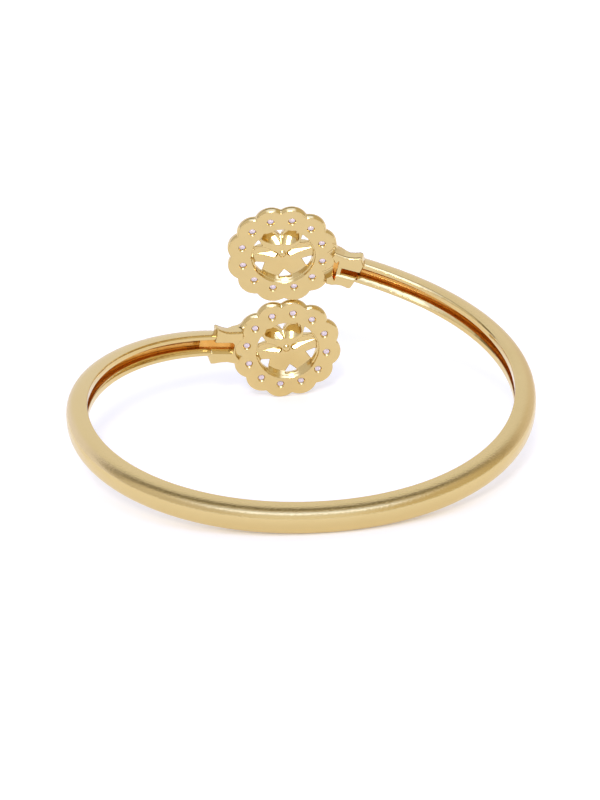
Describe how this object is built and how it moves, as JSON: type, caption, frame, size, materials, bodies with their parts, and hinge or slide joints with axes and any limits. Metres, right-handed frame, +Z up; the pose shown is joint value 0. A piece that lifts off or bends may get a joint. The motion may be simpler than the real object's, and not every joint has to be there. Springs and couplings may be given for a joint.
{
  "type": "enamel cuff bracelet",
  "caption": "Slim oval open cuff with a satin gold band, hollow behind, whose two arms pass each other and end in twin openwork flowers with enamel petals and a stone-set scalloped rim.",
  "frame": {"origin": "middle of the bounding box's underside, on the surface that the cuff lies on", "axes": "the cuff lies on its side as it rests by itself: -Y is the plain front, +Y the side with the flowers, +X the side whose arm climbs to the upper flower, +Z up"},
  "size_m": [0.064, 0.0576, 0.0304],
  "materials": {
    "gold": "satin outside, polished inside, on the collars and on the flowers",
    "enamel": "smooth glossy opaque enamel",
    "crystal": "clear cut stones with polished facets"
  },
  "bodies": {
    "root": {"gold_cuff": "gold", "enamel_petal_upper_1": "enamel", "enamel_petal_upper_2": "enamel", "enamel_petal_upper_3": "enamel", "enamel_petal_upper_4": "enamel", "enamel_petal_upper_5": "enamel", "enamel_petal_upper_6": "enamel", "enamel_petal_lower_1": "enamel", "enamel_petal_lower_2": "enamel", "enamel_petal_lower_3": "enamel", "enamel_petal_lower_4": "enamel", "enamel_petal_lower_5": "enamel", "enamel_petal_lower_6": "enamel", "rim_stone_upper_01": "crystal", "rim_stone_upper_02": "crystal", "rim_stone_upper_03": "crystal", "rim_stone_upper_04": "crystal", "rim_stone_upper_05": "crystal", "rim_stone_upper_06": "crystal", "rim_stone_upper_07": "crystal", "rim_stone_upper_08": "crystal", "rim_stone_upper_09": "crystal", "rim_stone_upper_10": "crystal", "rim_stone_upper_11": "crystal", "rim_stone_upper_12": "crystal", "rim_stone_lower_01": "crystal", "rim_stone_lower_02": "crystal", "rim_stone_lower_03": "crystal", "rim_stone_lower_04": "crystal", "rim_stone_lower_05": "crystal", "rim_stone_lower_06": "crystal", "rim_stone_lower_07": "crystal", "rim_stone_lower_08": "crystal", "rim_stone_lower_09": "crystal", "rim_stone_lower_10": "crystal", "rim_stone_lower_11": "crystal", "rim_stone_lower_12": "crystal"}
  },
  "joints": []
}
